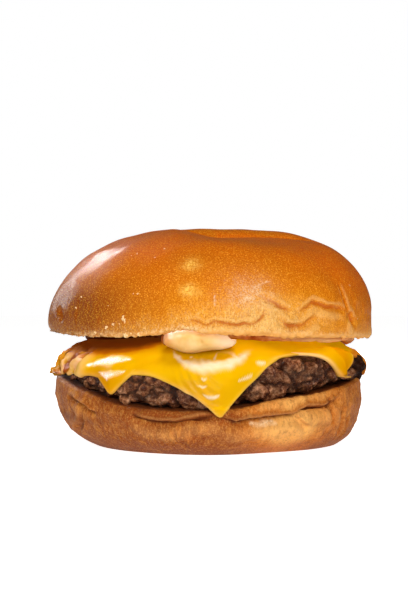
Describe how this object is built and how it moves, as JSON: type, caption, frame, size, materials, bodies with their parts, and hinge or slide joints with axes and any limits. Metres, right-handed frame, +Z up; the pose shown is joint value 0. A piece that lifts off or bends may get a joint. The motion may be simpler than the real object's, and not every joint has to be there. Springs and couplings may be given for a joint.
{
  "type": "cheeseburger",
  "caption": "Cheeseburger: domed glazed bun over sauce, two draped square cheese slices, a thick beef patty and a creased bun heel.",
  "frame": {"origin": "on the table, under the middle of the bun", "axes": "+Z up through the stack, -Y the front with the hanging cheese tip, +X to the right of that front"},
  "size_m": [0.11, 0.11, 0.0731],
  "materials": {
    "glazed_crust": "golden brown baked crust with a thin egg-wash gloss, paler at the lower edge",
    "heel_crust": "soft tan baked crust, satin, darker in its creases",
    "beef": "coarse seared ground beef, dark brown with small wet glints",
    "cheese": "melted processed cheese, smooth and glossy",
    "burger_sauce": "thin pinkish brown sauce, wet",
    "mayonnaise": "thick cream sauce, smooth and satin"
  },
  "bodies": {
    "root": {"heel": "heel_crust", "patty": "beef", "cheese_lower": "cheese", "cheese_upper": "cheese", "sauce": "burger_sauce", "dollop": "mayonnaise", "crown": "glazed_crust"}
  },
  "joints": []
}
